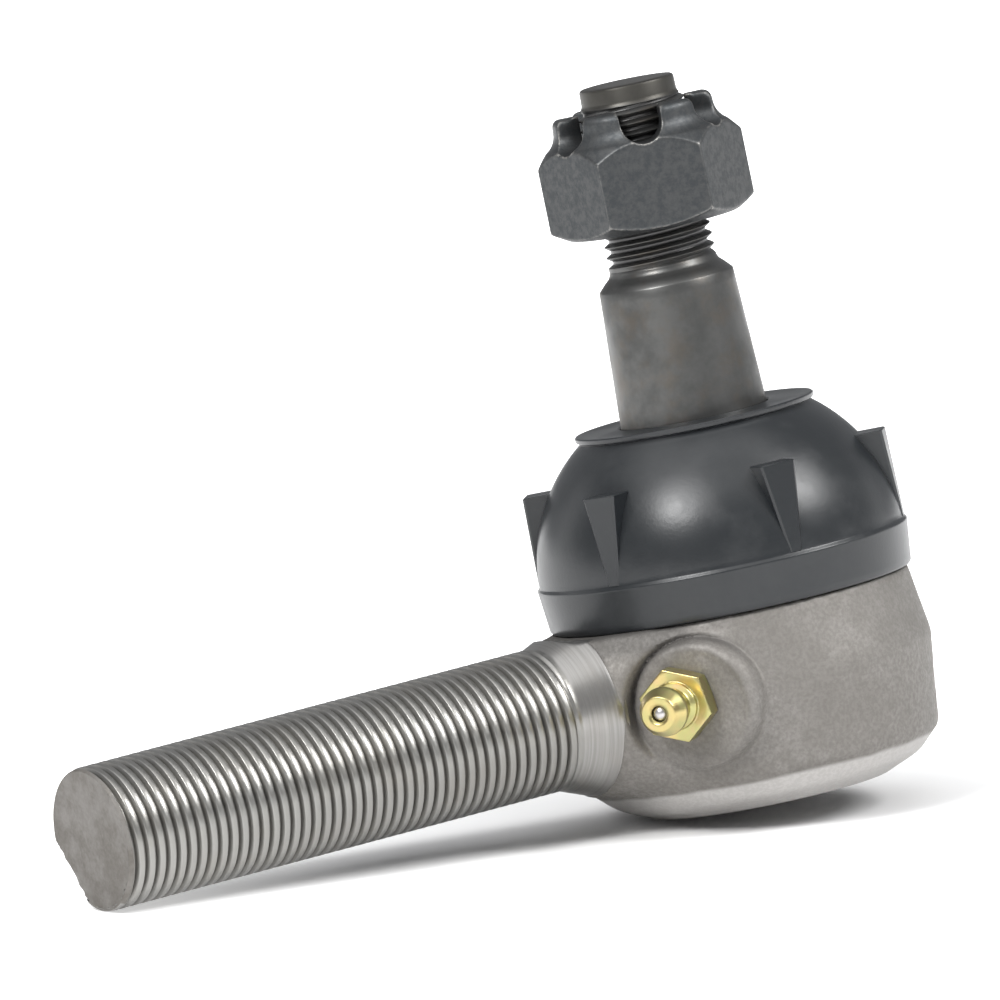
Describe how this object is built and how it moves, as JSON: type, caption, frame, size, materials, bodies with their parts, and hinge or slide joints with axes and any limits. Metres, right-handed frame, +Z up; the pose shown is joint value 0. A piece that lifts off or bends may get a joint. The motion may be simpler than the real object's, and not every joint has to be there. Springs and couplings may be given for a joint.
{
  "type": "tie rod end",
  "caption": "Forged tie rod end with an integral threaded shank, a booted ball stud with castle nut, and a grease fitting.",
  "frame": {"origin": "the swivel centre, which is the centre of the ball and the crossing of the shank and stud axes", "axes": "+Z up along the tapered stud at its middle position, -X along the shank towards its free end, so the grease fitting points towards -X and -Y"},
  "size_m": [0.1264, 0.0496, 0.0955],
  "materials": {
    "forged_steel": "blasted forging, with a turned and threaded shank",
    "bearing_steel": "hardened and ground",
    "spring_steel": "oiled spring steel",
    "pressed_steel": "plain pressed steel",
    "stud_steel": "heat-treated dark brown-grey",
    "phosphate_steel": "dark phosphate",
    "black_rubber": "semi-gloss moulded rubber",
    "ring_steel": "plain",
    "yellow_zinc": "yellow zinc plate",
    "ball_steel": "polished"
  },
  "bodies": {
    "socket": {"housing": "forged_steel", "end_cover": "pressed_steel", "preload_spring": "spring_steel", "grease_fitting": "yellow_zinc", "grease_spring": "spring_steel"},
    "ball_seats": {"upper_bearing": "bearing_steel", "lower_bearing": "bearing_steel", "dust_boot": "black_rubber", "boot_base_ring": "ring_steel"},
    "boot_lip": {"boot_top_ring": "ring_steel"},
    "stud": {"ball_stud": "stud_steel", "castle_nut": "phosphate_steel"},
    "check_ball": {"grease_check_ball": "ball_steel"}
  },
  "joints": [
    {"name": "tilt_direction", "type": "hinge", "parent": "socket", "child": "ball_seats", "pos_m": [0, 0, 0], "axis": [0, 0, 1], "continuous": true},
    {"name": "stud_tilt", "type": "hinge", "parent": "ball_seats", "child": "boot_lip", "pos_m": [0, 0, 0], "axis": [0, 1, 0], "range_deg": [-20, 20], "deforming": ["dust_boot"]},
    {"name": "stud_spin", "type": "hinge", "parent": "boot_lip", "child": "stud", "pos_m": [0, 0, 0], "axis": [0, 0, 1], "continuous": true},
    {"name": "check_ball_press", "type": "slide", "parent": "socket", "child": "check_ball", "axis": [0.7771, 0.6293, 0], "range_m": [0, 0.001], "stiffness_N_per_m": 100, "springref_m": -0.0005, "deforming": ["grease_spring"]}
  ]
}
